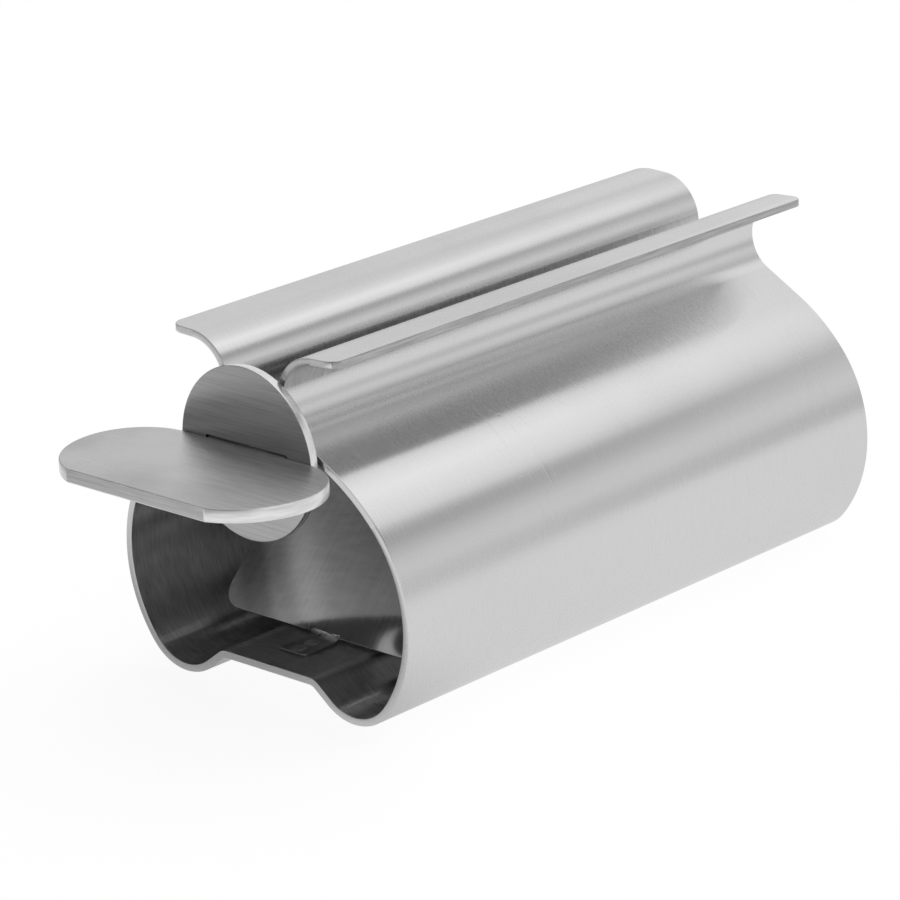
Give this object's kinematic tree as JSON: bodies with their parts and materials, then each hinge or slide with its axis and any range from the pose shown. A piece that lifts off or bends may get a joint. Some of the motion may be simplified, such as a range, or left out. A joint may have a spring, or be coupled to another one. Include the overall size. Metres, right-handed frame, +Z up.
{
  "type": "toothpaste tube squeezer",
  "caption": "Free-standing steel squeezer: a curled sheet shell with a slotted neck, a spring plate inside and a turning forked key that winds up a tube's flat end.",
  "frame": {"origin": "middle of the whole part's footprint, on the surface that the feet stand on", "axes": "+Y along the shell from the thumb grip to the rear end, +X across it, +Z up through the neck slot"},
  "size_m": [0.0488, 0.1102, 0.046],
  "materials": {
    "shell_steel": "brushed across the tube, satin",
    "spring_steel": "polished spring strip",
    "key_steel": "brushed lengthwise, satin",
    "weld_steel": "rough weld metal"
  },
  "bodies": {
    "shell": {"shell": "shell_steel", "spot_welds": "weld_steel"},
    "spring": {"spring_plate": "spring_steel"},
    "key": {"winding_key": "key_steel", "stop_disc": "key_steel", "disc_weld_beads": "weld_steel"}
  },
  "joints": [
    {"name": "spring_press", "type": "slide", "parent": "shell", "child": "spring", "axis": [0, 0, 1], "range_m": [-0.006, 0], "stiffness_N_per_m": 1500, "springref_m": 0.002, "deforming": ["spring_plate"]},
    {"name": "key_turn", "type": "hinge", "parent": "spring", "child": "key", "pos_m": [0, 0, 0.03226], "axis": [0, 1, 0], "continuous": true}
  ]
}
